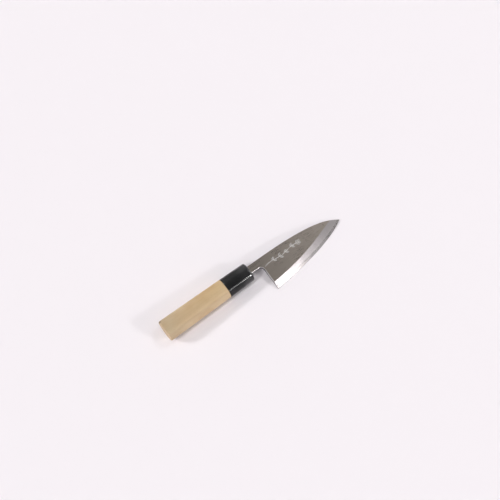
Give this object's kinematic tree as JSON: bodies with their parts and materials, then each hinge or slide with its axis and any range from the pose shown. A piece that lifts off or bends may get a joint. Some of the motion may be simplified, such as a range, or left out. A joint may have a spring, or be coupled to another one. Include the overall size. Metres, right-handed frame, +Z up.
{
  "type": "deba knife",
  "caption": "Small single-bevel kitchen knife with a thick two-metal blade, a D-section wooden handle and a black ferrule, lying on its flat back.",
  "frame": {"origin": "on the table that the knife lies on, under the middle of the whole knife", "axes": "+X along the knife from the butt to the tip, +Y towards the spine, +Z up from the table"},
  "size_m": [0.2382, 0.0465, 0.0226],
  "materials": {
    "soft_iron": "satin, finely ground along the blade",
    "hard_steel": "bright, ground square to the edge",
    "black_ferrule": "gloss",
    "pale_wood": "bare, sanded",
    "neck_resin": "matt"
  },
  "bodies": {
    "root": {"blade_body": "soft_iron", "cutting_steel": "hard_steel", "ferrule": "black_ferrule", "handle": "pale_wood", "tang_seal": "neck_resin"}
  },
  "joints": []
}
